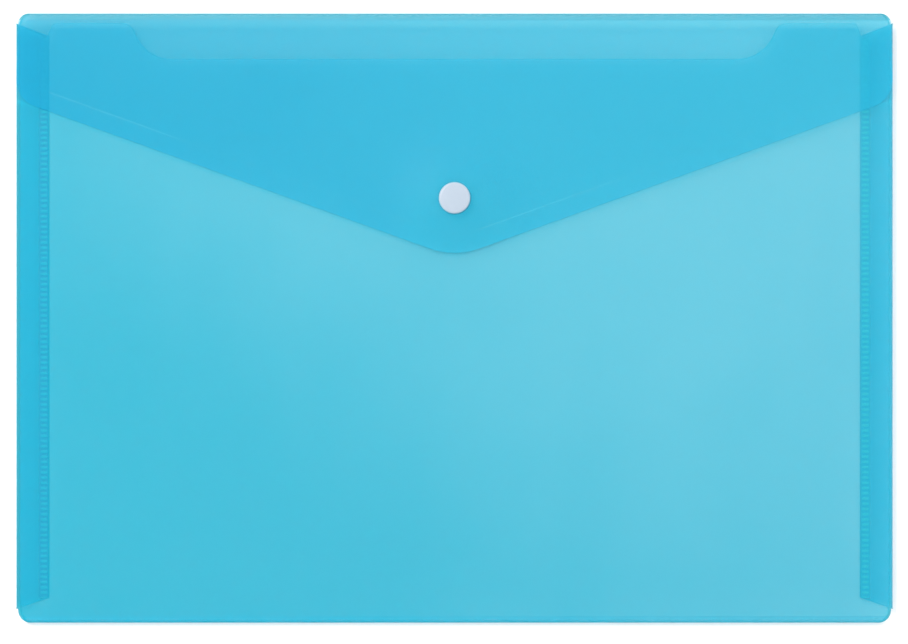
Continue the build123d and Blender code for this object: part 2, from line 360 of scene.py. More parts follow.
def sheet_finish(name, settings, colours, tone, opacity, line, line_strength, gloss=0.35, rub_and_highlight=even(0.0)):
    """Satin see-through plastic; tone tells where it is pale, line is the colour of its edges."""
    deep, pale = colours
    finish = Finish(name)
    cloud = finish.noise(16.0, 2.0)
    scuff = finish.smooth(finish.noise(70.0, 2.0, (1.0, 7.0, 1.0)), 0.60, 0.80)
    grain = finish.noise(2400.0, 0.0)
    # The pressed-line mark also carries painted highlights on the folds and at the flap's root.
    edge = finish.marked("edge")
    crease = finish.marked("crease")
    # tone carries the painted light and shade of the pieces that have them.
    light = finish.smooth(tone(finish) + (cloud - 0.5) * 0.25, 0.0, 1.0)
    body = finish.mix(light, deep, pale)
    body = finish.mix(scuff * 0.10, body, settings.edge)
    body = finish.mix(crease * (0.65 + cloud * 0.4), body, settings.gleam)
    body = finish.mix(edge * line_strength, body, line)
    # Painted highlight, also a rubbed line, along the closed flap's edge.
    body = finish.mix(rub_and_highlight(finish), body, settings.polish_and_highlight)
    return finish.paint(
        {
            "Base Color": body,
            "Roughness": 0.42 + cloud * 0.14 - scuff * 0.08,
            "Alpha": opacity(finish) + edge * (0.5 * line_strength) + crease * 0.08,
            "IOR": 1.49,
            "Specular IOR Level": gloss,
            "Normal": finish.bump(grain, 0.01 * MM, 0.3),
        }
    )


def below_flap(finish, flap):
    """How far a place lies below the closed flap's sloped edge."""
    apex = FLAP_ROOT.y + (TOP_RADIUS - flap.apex_drop) * FLAP_ALONG.y
    rise = (flap.apex_drop - flap.side_drop) * FLAP_ALONG.y / HALF_WIDTH
    blunt = flap.tip_radius * (math.sqrt(1 + rise * rise) - 1) / rise
    x = finish.axis("X")
    return x.math("SQRT", x * x + blunt * blunt, 0) * rise + apex - finish.axis("Y")


def front_tone(finish):
    """Painted light and shade on the front panel: paler towards the right and the top as a painted sheen, a
    little paler near the bottom fold as painted light, and deep over the side tabs and near the mouth as
    painted shade; the streaks are the sheet's own tone.
    """
    x = finish.axis("X")
    y = finish.axis("Y")
    lean = 0.55 + x * 1.9 - x * x * 9.0 + y * 4.0 - x * y * 12.0
    streak = finish.noise(45.0, 2.0, (1.0, 0.1, 1.0))
    foot = finish.smooth(y, *FOOT_FADE)
    lean = lean + (streak - 0.5) * 0.12 + foot * 0.08
    # Painted shade over the side tabs and near the mouth.
    return lean - over_tab(finish) * 0.42 - finish.smooth(y, *MOUTH_FADE) * 0.15


def over_tab(finish):
    """1 where the front panel lies over a side tab, 0 elsewhere."""
    x = finish.axis("X")
    beside = finish.smooth(x.math("ABSOLUTE", x, 0), TAB_INNER_X - MM, TAB_INNER_X + MM)
    return beside * finish.smooth(finish.axis("Y"), TAB_BOTTOM_Y, TAB_BOTTOM_Y + 5 * MM)


def front_opacity(settings):
    """The front panel shows more of what is below it over the side tabs."""
    return lambda finish: settings.opacity - over_tab(finish) * 0.12


def back_opacity(settings):
    """The back panel is a little denser towards the left, which paints shade there."""
    return lambda finish: finish.axis("X") * -0.40 + settings.back_opacity


def even_tone(level, slope=0.0):
    """Paleness that grows evenly towards the right, per metre: painted light."""
    return lambda finish: finish.axis("X") * slope + level


def flap_tone(finish):
    """Painted light and shade on the flap: painted shade along its sides, and painted light at its tip and
    towards the right.
    """
    x = finish.axis("X")
    side = finish.smooth(x.math("ABSOLUTE", x, 0), TAB_INNER_X - MM, TAB_INNER_X + 2 * MM)
    side = side * finish.smooth(finish.axis("Y"), *FLAP_SIDE_FADE)
    y = finish.axis("Y") - TIP_CENTRE_Y
    tip = finish.smooth(x.math("SQRT", x * x + y * y, 0), *TIP_FADE)
    return 0.65 + x * 2.4 + tip * 0.35 - side * (0.55 - x * 1.5)


def flap_rub_and_highlight(flap):
    """Painted highlight on the front panel along the closed flap's edge, which also stands for a line that
    the flap's edge has rubbed.
    """

    def mark(finish):
        below = below_flap(finish, flap)
        return finish.smooth(below, *RUB_HIGHLIGHT_START) * finish.smooth(below, *RUB_HIGHLIGHT_END) * RUB_HIGHLIGHT_STRENGTH

    return mark


def weld_finish(name, settings, opacity):
    """Pressed plastic, pale on the ovals and deep between them."""
    finish = Finish(name)
    oval = finish.marked("oval")
    cloud = finish.noise(70.0, 3.0)
    grain = finish.noise(3000.0, 2.0)
    patch = finish.smooth(oval + (cloud - 0.5) * 0.3, 0.15, 0.75)
    # Painted light: the right seam is paler, on its ovals and between them.
    right = finish.smooth(finish.axis("X"), -0.1, 0.1)
    pressed = finish.mix(right, settings.oval, settings.right_lit_oval)
    groove = finish.mix(right * 0.24, settings.groove, settings.right_lit_oval)
    return finish.paint(
        {
            "Base Color": finish.mix(patch, groove, pressed),
            "Roughness": 0.46 - patch * 0.14 + cloud * 0.06,
            "Alpha": opacity - patch * 0.30,
            "IOR": 1.49,
            "Normal": finish.bump(grain, 0.02 * MM, 0.3),
        }
    )


def snap_finish(name, settings):
    """Moulded plastic with a soft shine."""
    finish = Finish(name)
    cloud = finish.noise(260.0, 3.0)
    grain = finish.noise(4200.0, 2.0)
    rim_highlight = finish.marked("rim_highlight")
    scratch = finish.smooth(finish.noise(900.0, 2.0, (1.0, 7.0, 1.0)), 0.62, 0.75)
    # The rim is painted paler, a painted highlight.
    body = finish.mix(cloud * 0.2 + rim_highlight * 0.8, settings.plastic, settings.rim)
    return finish.paint(
        {
            "Base Color": body,
            "Roughness": 0.30 + cloud * 0.12 + scratch * 0.15,
            "IOR": 1.49,
            "Specular IOR Level": 0.5,
            "Normal": finish.bump(grain * 0.4 + scratch * 0.3, 0.015 * MM, 0.35),
        }
    )


def floor_finish(name, settings):
    """Matt white board."""
    finish = Finish(name)
    cloud = finish.noise(3.0, 2.0)
    tone = finish.mix(cloud * 0.03, settings.floor, (0.80, 0.82, 0.84))
    return finish.paint({"Base Color": tone, "Roughness": 0.85 + cloud * 0.1, "Specular IOR Level": 0.1})


def spread(marks, step):
    """Marks in order, with even stops between them so that no gap is longer than step."""
    marks = np.unique(np.round(marks, 7))
    stops = [marks[0]]
    for start, stop in zip(marks, marks[1:]):
        count = max(1, math.ceil((stop - start) / step))
        stops.extend(start + (stop - start) * (n + 1) / count for n in range(count))
    return np.array(stops)


def both_sides(marks):
    """Marks on the right half, and their mirror images."""
    return np.concatenate([-np.asarray(marks), np.asarray(marks)])


def rounded(corners, radii, turn=math.radians(6)):
    """Open path through corners whose inner ones are rounded by radii."""
    corners = np.asarray(corners, float)
    path = [corners[0]]
    for before, corner, after, radius in zip(corners, corners[1:], corners[2:], radii):
        inward = (before - corner) / np.linalg.norm(before - corner)
        onward = (after - corner) / np.linalg.norm(after - corner)
        half = math.acos(np.clip(inward @ onward, -1, 1)) / 2
        if radius == 0 or half > math.radians(89.9):
            path.append(corner)
            continue
        middle = (inward + onward) / np.linalg.norm(inward + onward)
        centre = corner + middle * radius / math.sin(half)
        start = corner + inward * radius / math.tan(half) - centre
        sweep = math.pi - 2 * half
        side = np.sign(inward[0] * onward[1] - inward[1] * onward[0])
        count = max(2, math.ceil(sweep / turn))
        for angle in np.linspace(0, -side * sweep, count + 1):
            c, s = math.cos(angle), math.sin(angle)
            path.append(centre + (start[0] * c - start[1] * s, start[0] * s + start[1] * c))
    path.append(corners[-1])
    return np.array(path)


def across(path):
    """Function that gives a path's height at a distance from the middle, alike on both sides."""
    order = np.argsort(path[:, 0], kind="stable")
    return lambda x: np.interp(np.abs(x), path[order, 0], path[order, 1])


def ladder(low, high, foot, head, count):
    """Rows from low to high: offsets up from low, even steps, then offsets down from high."""
    start = low + foot[-1]
    stop = high - head[-1]
    between = [start + (stop - start) * n / count for n in range(1, count)]
    return np.stack([low + gap for gap in foot] + between + [high - gap for gap in reversed(head)])


def object_from(name, mesh, finish, node, body):
    """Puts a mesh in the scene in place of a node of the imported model."""
    mesh.materials.append(finish)
    made = bpy.data.objects.new(name, mesh)
    bpy.context.scene.collection.objects.link(made)
    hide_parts(node)
    if body:
        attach(made, body)
    return made


def tidy_mesh(mesh, marks):
    """Turns faces outward, smooths them and stores values at the points."""
    for name, values in marks.items():
        stored = mesh.attributes.new(name, "FLOAT", "POINT")
        stored.data.foreach_set("value", np.asarray(values, np.float32).ravel())
    work = bmesh.new()
    work.from_mesh(mesh)
    bmesh.ops.recalc_face_normals(work, faces=work.faces)
    work.to_mesh(mesh)
    work.free()
    mesh.shade_smooth()
    mesh.set_sharp_from_angle(angle=math.radians(55))
    return mesh


def shell_mesh(name, outer, inner, marks):
    """Closed sheet between two grids of points."""
    rows, columns = outer.shape[:2]
    count = rows * columns
    index = np.arange(count).reshape(rows, columns)
    faces = []
    for row in range(rows - 1):
        for column in range(columns - 1):
            quad = [index[row, column], index[row, column + 1]]
            quad += [index[row + 1, column + 1], index[row + 1, column]]
            faces.append(quad)
            faces.append([corner + count for corner in reversed(quad)])
    rim = [*index[0, :-1], *index[:-1, -1], *index[-1, :0:-1], *index[:0:-1, 0]]
    for here, there in zip(rim, rim[1:] + rim[:1]):
        faces.append([there, here, here + count, there + count])
    points = np.concatenate([outer.reshape(-1, 3), inner.reshape(-1, 3)])
    mesh = bpy.data.meshes.new(name)
    mesh.from_pydata(points.tolist(), [], [[int(corner) for corner in face] for face in faces])
    doubled = {key: np.concatenate([np.ravel(value), np.ravel(value)]) for key, value in marks.items()}
    return tidy_mesh(mesh, doubled)


def rim_pinch(shape, joined=()):
    """How much thinner the sheet is at its cut rims: 1 there and 0 elsewhere and where a fold carries on."""
    pinch = np.zeros(shape)
    rims = {"low": np.s_[0, :], "high": np.s_[-1, :], "sides": np.s_[:, [0, -1]]}
    for name, rim in rims.items():
        if name not in joined:
            pinch[rim] = 1
    return pinch


def panel_mesh(name, x, y, base, up, edge, joined, crease=None, groove=0.0):
    """Sheet over a grid of places; base gives each place's underside and up the way it is thick."""
    pinch = rim_pinch(x.shape, joined) * 0.25 * SHEET
    crease = np.zeros(x.shape) if crease is None else crease
    under = base(x, y)
    up = np.asarray(up, float)
    inner = under + pinch[..., None] * up
    outer = under + (SHEET - pinch - groove * crease)[..., None] * up
    return shell_mesh(name, outer, inner, {"edge": edge, "crease": crease})


def edge_share(gaps, width):
    """1 at an edge, falling to 0 at a width from it; gaps are distances from each edge."""
    nearest = np.min(np.stack(gaps), axis=0)
    return np.clip(1 - nearest / width, 0, 1)


def corner_mark(x, y, half, radius, outermost, width):
    """1 along an outline's rounded corners, falling to 0 at a width from it."""
    beside = np.maximum(np.abs(x) - (half - radius), 0)
    past = np.maximum(np.sign(outermost) * y - (abs(outermost) - radius), 0)
    gap = radius - np.hypot(beside, past)
    return np.where((beside > 0) & (past > 0), np.clip(1 - gap / width, 0, 1), 0)


def corner_reach(y, half, radius, outermost):
    """Half width of a sheet with rounded corners, at a height near its outermost line."""
    past = np.clip(np.abs(y) - (abs(outermost) - radius), 0, radius)
    return half - radius + np.sqrt(np.maximum(radius**2 - past**2, 0))


def fold_mesh(name, axis_y, radius, start, sweep, corner, settings, gleam):
    """Sheet bent round a line along X, its ends cut to the rounded corners and its upward face painted paler
    by gleam, a painted highlight.
    """
    half = BACK_HALF_WIDTH
    turns = np.radians(np.linspace(start, start + sweep, 37))
    ends = half - spread([0, settings.edge_round, settings.edge_line, 3 * settings.edge_line, half], 7 * MM)
    stops = np.unique(np.round(both_sides(ends / half), 9))
    outermost = axis_y + math.copysign(radius, axis_y)
    grids = []
    for depth in (0.0, SHEET):
        y = axis_y + (radius - depth) * np.cos(turns)
        z = radius + (radius - depth) * np.sin(turns)
        reach = corner_reach(axis_y + radius * np.cos(turns), half, corner, outermost)
        x = stops[None, :] * reach[:, None]
        y, z = np.broadcast_to(y[:, None], x.shape), np.broadcast_to(z[:, None], x.shape)
        grids.append(np.dstack([x, y, z]))
    x = grids[0][..., 0]
    gap = np.abs(x[:, -1:]) - np.abs(x)
    outward = np.clip((np.abs(np.cos(turns)) - 0.55) / 0.45, 0, 1)[:, None]
    edge = np.maximum(2 * np.clip(1 - gap / (2 * settings.edge_line), 0, 1), 0.9 * outward * np.ones_like(x))
    # Painted highlight on the upward face of the fold, stored with the pressed-line mark.
    upward = np.clip(np.sin(turns), 0, 1) * np.clip(1 - np.abs(np.cos(turns)) / 0.7, 0, 1)
    crease = gleam * upward[:, None] * np.ones_like(x)
    return shell_mesh(name, grids[0], grids[1], {"edge": edge, "crease": crease})


def corner_edge(half, radius, outermost):
    """Function of x for an outline's height where its corners are rounded."""
    corners = [(0, outermost), (half, outermost), (half, outermost - radius)]
    return across(rounded(corners, [radius]))


def level(height):
    """Places a grid at one height."""
    return lambda x, y: np.dstack([x, y, np.full(x.shape, height)])


class WALLET_OT_back_panel(bpy.types.Operator):
    """Add the back panel"""

    bl_idname = "wallet.back_panel"
    bl_label = "Back Panel"

    def execute(self, context):
        sheet = context.scene.wallet_sheet
        half = BACK_HALF_WIDTH
        fine = [0, sheet.edge_round, sheet.edge_line, 2 * sheet.edge_line]
        marks = [half - gap for gap in fine] + [half - sheet.top_corner, half - sheet.bottom_corner]
        arc = [half - sheet.bottom_corner * (1 - math.cos(turn)) for turn in np.radians(range(0, 91, 9))]
        columns = spread(both_sides(marks + arc + [0]), 8 * MM)
        top = corner_edge(half, sheet.top_corner, TOP_Y)
        bottom = corner_edge(half, sheet.bottom_corner, -BOTTOM_Y)
        high = np.minimum(top(columns), TOP_AXIS_Y)
        low = np.maximum(-bottom(columns), BOTTOM_AXIS_Y)
        y = ladder(low, high, fine, fine, 30)
        x = np.broadcast_to(columns, y.shape)
        edge = edge_share([half - np.abs(x)], sheet.edge_line)
        for radius, outermost in ((sheet.bottom_corner, BOTTOM_Y), (sheet.top_corner, TOP_Y)):
            edge = np.maximum(edge, 1.5 * corner_mark(x, y, half, radius, outermost, 2 * sheet.edge_line))
        mesh = panel_mesh("back_panel_sheet", x, y, level(0.0), (0, 0, 1), edge, ("low", "high"))
        finish = sheet_finish(
            "back_sheet", sheet, (sheet.back, sheet.pale), even(0.0), back_opacity(sheet), sheet.edge, 0.6
        )
        object_from("back_panel_sheet", mesh, finish, "back_panel", "pocket")
        return {"FINISHED"}


class WALLET_OT_bottom_fold(bpy.types.Operator):
    """Add the fold that joins the back and front panels"""

    bl_idname = "wallet.bottom_fold"
    bl_label = "Bottom Fold"

    def execute(self, context):
        sheet = context.scene.wallet_sheet
        mesh = fold_mesh(
            "bottom_fold_sheet", BOTTOM_AXIS_Y, BOTTOM_RADIUS, 90, 180, sheet.bottom_corner, sheet, gleam=0.1
        )
        colours = (sheet.bottom, sheet.pale)
        finish = sheet_finish(
            "bottom_fold_sheet", sheet, colours, front_tone, even(sheet.opacity), sheet.edge, 0.38, gloss=0.0
        )
        object_from("bottom_fold_sheet", mesh, finish, "bottom_fold", "pocket")
        return {"FINISHED"}


class WALLET_OT_front_panel(bpy.types.Operator):
    """Add the front panel with its mouth"""

    bl_idname = "wallet.front_panel"
    bl_label = "Front Panel"

    def mouth_path(self, mouth):
        """The mouth's edge from the middle to the right side."""
        tab_y = TOP_Y - mouth.tab_drop
        floor_y = TOP_Y - mouth.floor_drop
        tab_end_x = HALF_WIDTH - mouth.tab_end
        radii = mouth.top_radius + mouth.floor_radius
        turn = math.acos(1 - (tab_y - floor_y) / radii)
        floor_x = tab_end_x - radii * math.sin(turn)
        path = [(0, floor_y)]
        for angle in np.linspace(0, turn, 13):
            rise = mouth.floor_radius * (1 - math.cos(angle))
            path.append((floor_x + mouth.floor_radius * math.sin(angle), floor_y + rise))
        for angle in np.linspace(turn, 0, 13)[1:]:
            fall = mouth.top_radius * (1 - math.cos(angle))
            path.append((tab_end_x - mouth.top_radius * math.sin(angle), tab_y - fall))
        corners = [
            (tab_end_x, tab_y),
            (HALF_WIDTH - mouth.corner_inset, tab_y),
            (HALF_WIDTH - mouth.notch_inset, TOP_Y - mouth.notch_drop),
            (HALF_WIDTH, TAB_TOP_Y),
        ]
        return np.concatenate([path, rounded(corners, [mouth.corner_radius, 0])[1:]])

    def execute(self, context):
        sheet = context.scene.wallet_sheet
        mouth = context.scene.wallet_mouth
        flap = context.scene.wallet_flap
        path = self.mouth_path(mouth)
        bend_at, bend_by = np.transpose(BEND_LINE)
        fine = [0, sheet.edge_round, *bend_at[1:]]
        arc = [
            BACK_HALF_WIDTH - sheet.bottom_corner * (1 - math.cos(turn))
            for turn in np.radians(range(0, 91, 9))
        ]
        inside = path[path[:, 0] < SIDE_FOLD_X, 0]
        marks = [SIDE_FOLD_X - gap for gap in fine] + arc + list(inside)
        columns = spread(both_sides(marks), 6 * MM)
        high = across(path)(columns)
        corner = corner_edge(BACK_HALF_WIDTH, sheet.bottom_corner, -BOTTOM_Y)
        low = np.maximum(-corner(columns), BOTTOM_AXIS_Y)
        low = np.where(np.abs(columns) > BACK_HALF_WIDTH, TAB_BOTTOM_Y, low)
        slope = np.gradient(high, columns)
        head = [0, sheet.edge_round, sheet.edge_line, 2 * sheet.edge_line]
        y = ladder(low, high, head, head, 36)
        x = np.broadcast_to(columns, y.shape)
        edge = 0.5 * edge_share([(high - y) / np.sqrt(1 + slope**2)], sheet.edge_line)
        bend = np.interp(SIDE_FOLD_X - np.abs(x), bend_at, bend_by)
        # Painted light: the bend line is painted fainter on the right.
        bend = np.where(x < 0, bend, 0.35 * bend)
        edge = np.maximum(edge, np.where(y > TAB_BOTTOM_Y, bend, 0))
        arcs = corner_mark(x, y, BACK_HALF_WIDTH, sheet.bottom_corner, BOTTOM_Y, 2 * sheet.edge_line)
        edge = np.maximum(edge, 1.3 * arcs)
        mesh = panel_mesh("front_panel_sheet", x, y, self.bowed(sheet), (0, 0, 1), edge, ("low", "sides"))
        colours = (sheet.deep, sheet.pale)
        finish = sheet_finish(
            "front_sheet",
            sheet,
            colours,
            front_tone,
            front_opacity(sheet),
            sheet.edge,
            0.7,
            gloss=0.25,
            # Painted highlight along the closed flap's edge.
            rub_and_highlight=flap_rub_and_highlight(flap),
        )
        object_from("front_panel_sheet", mesh, finish, "front_panel", "pocket")
        return {"FINISHED"}

    def bowed(self, sheet):
        """Places the panel, bowed up a little between its folds and the press stud."""

        def place(x, y):
            span = np.clip((y - BOTTOM_AXIS_Y) / (BOW_END_Y - BOTTOM_AXIS_Y), 0, 1)
            rise = sheet.front_bow * np.sin(np.pi * span) ** 2 * (1 - (x / HALF_WIDTH) ** 2) ** 2
            return np.dstack([x, y, FRONT_UNDER + rise])

        return place


class WALLET_OT_side_tabs(bpy.types.Operator):
    """Add the folds and tabs that close the sides"""

    bl_idname = "wallet.side_tabs"
    bl_label = "Side Folds and Tabs"

    def bend(self, land):
        """Centre of the side fold and how steeply the tab falls."""
        centre_z = FRONT_TOP - SIDE_FOLD_RADIUS
        run = SIDE_FOLD_X - (TAB_INNER_X + land)
        rise = centre_z - SHEET
        slope = math.atan2(rise, run) - math.asin(SIDE_FOLD_RADIUS / math.hypot(run, rise))
        return centre_z, slope

    def swept(self, outer, inner, sheet, seam):
        """Section carried from the lower mitre to the upper one."""
        grids = []
        share_in = np.clip((HALF_WIDTH - outer[:, 0]) / (HALF_WIDTH - TAB_INNER_X), 0, 1)
        high = TAB_TOP_Y - sheet.tab_top_mitre * share_in
        low = TAB_BOTTOM_Y + sheet.tab_bottom_mitre * share_in
        foot = [0, sheet.edge_round, sheet.edge_line]
        y = ladder(low, high, foot, foot, 40)
        for section in (outer, inner):
            x = np.broadcast_to(section[:, 0], y.shape)
            z = np.broadcast_to(section[:, 1], y.shape)
            grids.append(np.dstack([x, y, z]))
        gaps = [y - low, high - y]
        if seam:
            gaps.append(np.broadcast_to(outer[:, 0] - TAB_INNER_X, y.shape))
            edge = np.maximum(edge_share(gaps, sheet.edge_line), outer[:, 0] > SIDE_FOLD_X)
        else:
            edge = edge_share(gaps, sheet.edge_line)
            outward = np.clip((outer[:, 0] - SIDE_FOLD_X) / SIDE_FOLD_RADIUS, 0, 1)
            edge = np.maximum(edge, 0.9 * (1 - outward))
        return grids, edge

    def execute(self, context):
        sheet = context.scene.wallet_sheet
        centre_z, slope = self.bend(sheet.tab_land)
        centre = np.array([SIDE_FOLD_X, centre_z])
        turns = np.linspace(math.pi / 2, slope - math.pi / 2, 19)
        ring = np.stack([np.cos(turns), np.sin(turns)], axis=1)
        fold = (centre + SIDE_FOLD_RADIUS * ring, centre + (SIDE_FOLD_RADIUS - SHEET) * ring)
        away = np.array([math.sin(slope), -math.cos(slope)])
        kink = SHEET * math.tan(slope / 2)
        stops = np.linspace(0, 1, 7)[:, None]
        edge_x = TAB_INNER_X + sheet.tab_land
        land = edge_x - np.array([0.25, 0.5, 0.75, 0.89, 0.98, 1.0]) * sheet.tab_land
        below = self.run(centre + SIDE_FOLD_RADIUS * away, (edge_x, SHEET), stops, land)
        above = self.run(
            centre + (SIDE_FOLD_RADIUS - SHEET) * away, (edge_x - kink, 2 * SHEET), stops, land
        )
        for side, hand in (("right", 1), ("left", -1)):
            pieces = (
                ("fold", fold, sheet.deep, sheet.side_opacity, False),
                ("tab", (below, above), sheet.tab, sheet.opacity, True),
            )
            for part, section, deep, opacity, seam in pieces:
                colours = (deep, sheet.pale)
                tone = even_tone(0.1, 1.2)
                finish = sheet_finish(
                    f"{side}_{part}_sheet", sheet, colours, tone, even(opacity), sheet.edge, 0.8, gloss=0.0
                )
                name = f"{side}_side_{part}_sheet"
                grids, edge = self.swept(*section, sheet, seam)
                # Painted light: edge lines are painted fainter on the right.
                edge = edge * (1.0 if hand < 0 else 0.5)
                for grid in grids:
                    grid[..., 0] *= hand
                mesh = shell_mesh(name, *grids, {"edge": edge, "crease": np.zeros_like(edge)})
                object_from(name, mesh, finish, f"{side}_side_{part}", "pocket")
        return {"FINISHED"}

    def run(self, start, stop, stops, land):
        """Section line down the slope and along the land."""
        slope = np.asarray(start) + stops * (np.asarray(stop) - np.asarray(start))
        flat = np.stack([land, np.full(len(land), stop[1])], axis=1)
        return np.concatenate([slope, flat])


class WALLET_OT_weld_seams(bpy.types.Operator):
    """Add the pressed seams that hold the tabs to the back panel"""

    bl_idname = "wallet.weld_seams"
    bl_label = "Weld Seams"

    def execute(self, context):
        weld = context.scene.wallet_weld
        run = WELD_HIGH.y - WELD_LOW.y
        width = WELD_HIGH.x - WELD_LOW.x
        count = int(run // weld.pitch)
        rows = np.linspace(WELD_LOW.y, WELD_HIGH.y, count * 8 + 1)
        columns = np.linspace(-0.5, 0.5, 13)
        phase = (rows - (WELD_LOW.y + WELD_HIGH.y) / 2) / weld.pitch + 0.5 * (count % 2 == 0)
        across_oval = np.clip(np.abs(columns) * width / (weld.oval_length / 2), 0, 1)
        dome = np.sqrt(1 - across_oval**2)[None, :]
        swell = (0.5 + 0.5 * np.cos(2 * np.pi * phase))[:, None] ** 1.5
        oval = dome * swell
        height = (WELD_HIGH.z - WELD_LOW.z) * (0.25 + 0.75 * oval)
        height = height * (1 - 0.8 * rim_pinch(oval.shape))
        finish = weld_finish("weld_press", weld, weld.strength)
        for side, hand in (("right", 1), ("left", -1)):
            x = hand * ((WELD_LOW.x + WELD_HIGH.x) / 2 + columns * width)
            x = np.broadcast_to(x, oval.shape)
            y = np.broadcast_to(rows[:, None], oval.shape)
            lower = np.dstack([x, y, np.full(oval.shape, WELD_LOW.z)])
            upper = np.dstack([x, y, WELD_LOW.z + height])
            name = f"{side}_weld_press"
            mesh = shell_mesh(name, upper, lower, {"oval": oval})
            object_from(name, mesh, finish, f"{side}_weld_seam", "pocket")
        return {"FINISHED"}


class WALLET_OT_flap_panel(bpy.types.Operator):
    """Add the pointed flap with its pressed line"""

    bl_idname = "wallet.flap_panel"
    bl_label = "Flap"

    def draped(self, rest):
        """Places the flap's plane, held up at the press stud and drooping to the front panel."""

        def place(x, y):
            flat = np.array(FLAP_ROOT) + x[..., None] * (1.0, 0, 0) + y[..., None] * np.array(FLAP_ALONG)
            gap = flat[..., 2] - FRONT_TOP
            away = np.maximum(np.hypot(x, y - SNAP_ALONG) - CAP_RADIUS, 0)
            held = np.exp(-((away / HOLD_REACH) ** 2))
            droop = np.maximum(gap - rest, 0) * (1 - held)
            return flat - droop[..., None] * (0, 0, 1)

        return place

    def execute(self, context):
        sheet = context.scene.wallet_sheet
        flap = context.scene.wallet_flap
        side_y = TOP_RADIUS - flap.side_drop
        apex_y = TOP_RADIUS - flap.apex_drop
        tilt = math.atan2(side_y - apex_y, HALF_WIDTH)
        top = (BACK_HALF_WIDTH, TOP_RADIUS)
        side = rounded([(0, TOP_RADIUS), top, (HALF_WIDTH, side_y)], [sheet.top_corner])

        def reach(y):
            return np.interp(-y, -side[1:, 1], side[1:, 0])

        corners = [(-HALF_WIDTH, side_y), (0, apex_y), (HALF_WIDTH, side_y), top]
        path = rounded(corners, [flap.tip_radius, flap.corner_radius])[:-1]
        path = path[path[:, 0] > -1e-9]
        path[:, 0] *= HALF_WIDTH / reach(path[:, 1])
        path[0, 0] = min(path[0, 0], 0)
        fine = [0, sheet.edge_round, sheet.edge_line, 2 * sheet.edge_line]
        crease_stop = HALF_WIDTH - flap.crease_end
        shown_at, shown_by = np.transpose(CREASE_SHOWN)
        marks = [HALF_WIDTH - gap for gap in fine] + list(path[:, 0])
        marks += [crease_stop, crease_stop - sheet.edge_line]
        marks += [HALF_WIDTH * abs(stop) for stop in shown_at]
        columns = spread(both_sides(marks), 5 * MM)
        low = across(path)(columns)
        high = np.zeros_like(low)
        slope = np.gradient(low, columns)
        shift = flap.crease_inset / math.cos(tilt)
        half_line = flap.crease_width / 2 / math.cos(tilt)
        foot = [0, sheet.edge_round, sheet.edge_line, 2 * sheet.edge_line, shift / 2]
        foot += [shift - half_line, shift, shift + half_line]
        y = ladder(low, high, foot, [0, sheet.edge_round, 1.8 * MM, 3.8 * MM], 16)
        x = columns / HALF_WIDTH * reach(y)
        edge = edge_share([(y - low) / np.sqrt(1 + slope**2)], sheet.edge_line)
        ends = np.clip((crease_stop - np.abs(columns)) / sheet.edge_line, 0, 1)
        shown = np.interp(columns / HALF_WIDTH, shown_at, shown_by)
        crease = np.zeros(y.shape)
        crease[foot.index(shift)] = ends * shown
        # Painted light along the flap's root.
        crease[-3:] = np.array(ROOT_PAINTED_LIGHT)[:, None] * (0.9 + 0.3 * columns / HALF_WIDTH)
        base = self.draped(flap.rest)
        mesh = panel_mesh("flap_sheet", x, y, base, FLAP_NORMAL, edge, ("high",), crease, flap.crease_depth)
        colours = (sheet.flap, sheet.flap_pale)
        finish = sheet_finish(
            "flap_sheet", sheet, colours, flap_tone, even(sheet.flap_opacity), sheet.flap, 0.12, gloss=0.2
        )
        object_from("flap_sheet", mesh, finish, "flap_panel", "flap")
        return {"FINISHED"}


class WALLET_OT_top_fold(bpy.types.Operator):
    """Add the fold that the flap hinges on"""

    bl_idname = "wallet.top_fold"
    bl_label = "Top Fold"

    def execute(self, context):
        sheet = context.scene.wallet_sheet
        sweep = 180 - math.degrees(math.atan2(FLAP_NORMAL.y, FLAP_NORMAL.z))
        mesh = fold_mesh(
            "top_fold_sheet", TOP_AXIS_Y, TOP_RADIUS, -90, sweep, sheet.top_corner, sheet, gleam=0.42
        )
        colours = (sheet.fold, sheet.pale)
        tone = even_tone(0.05, 0.5)
        finish = sheet_finish(
            "top_fold_sheet", sheet, colours, tone, even(sheet.fold_opacity), sheet.edge, 0.45, gloss=0.0
        )
        fold = object_from("top_fold_sheet", mesh, finish, "top_fold", None)
        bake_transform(fold)
        return {"FINISHED"}


def turned_mesh(name, profile, hollow, origin, up, steps=96):
    """Profile of radius and height turned about an axis through origin along up."""
    up = Vector(up)
    side = Vector((1, 0, 0))
    front = up.cross(side)
    turns = np.linspace(0, 2 * math.pi, steps, endpoint=False)
    points = []
    rings = []
    profile = [(float(radius), float(height)) for radius, height in profile]
    for radius, height in profile:
        centre = Vector(origin) + height * up
        if radius < 1e-9:
            rings.append([len(points)] * steps)
            points.append(centre)
            continue
        rings.append(list(range(len(points), len(points) + steps)))
        points.extend(centre + radius * (math.cos(turn) * side + math.sin(turn) * front) for turn in turns)
    pairs = list(zip(rings, rings[1:]))
    if hollow:
        pairs.append((rings[-1], rings[0]))
    faces = []
    for lower, upper in pairs:
        for here in range(steps):
            there = (here + 1) % steps
            corners = [lower[here], lower[there], upper[there], upper[here]]
            faces.append(list(dict.fromkeys(corners)))
    mesh = bpy.data.meshes.new(name)
    mesh.from_pydata([tuple(point) for point in points], [], faces)
    widest = max(radius for radius, height in profile)
    # Painted highlight on the rings near each piece's widest radius.
    rim_highlight = []
    for radius, height in profile:
        rim_highlight.extend([np.clip((radius / widest - 0.86) / 0.14, 0, 1)] * (1 if radius < 1e-9 else steps))
    return tidy_mesh(mesh, {"rim_highlight": rim_highlight})


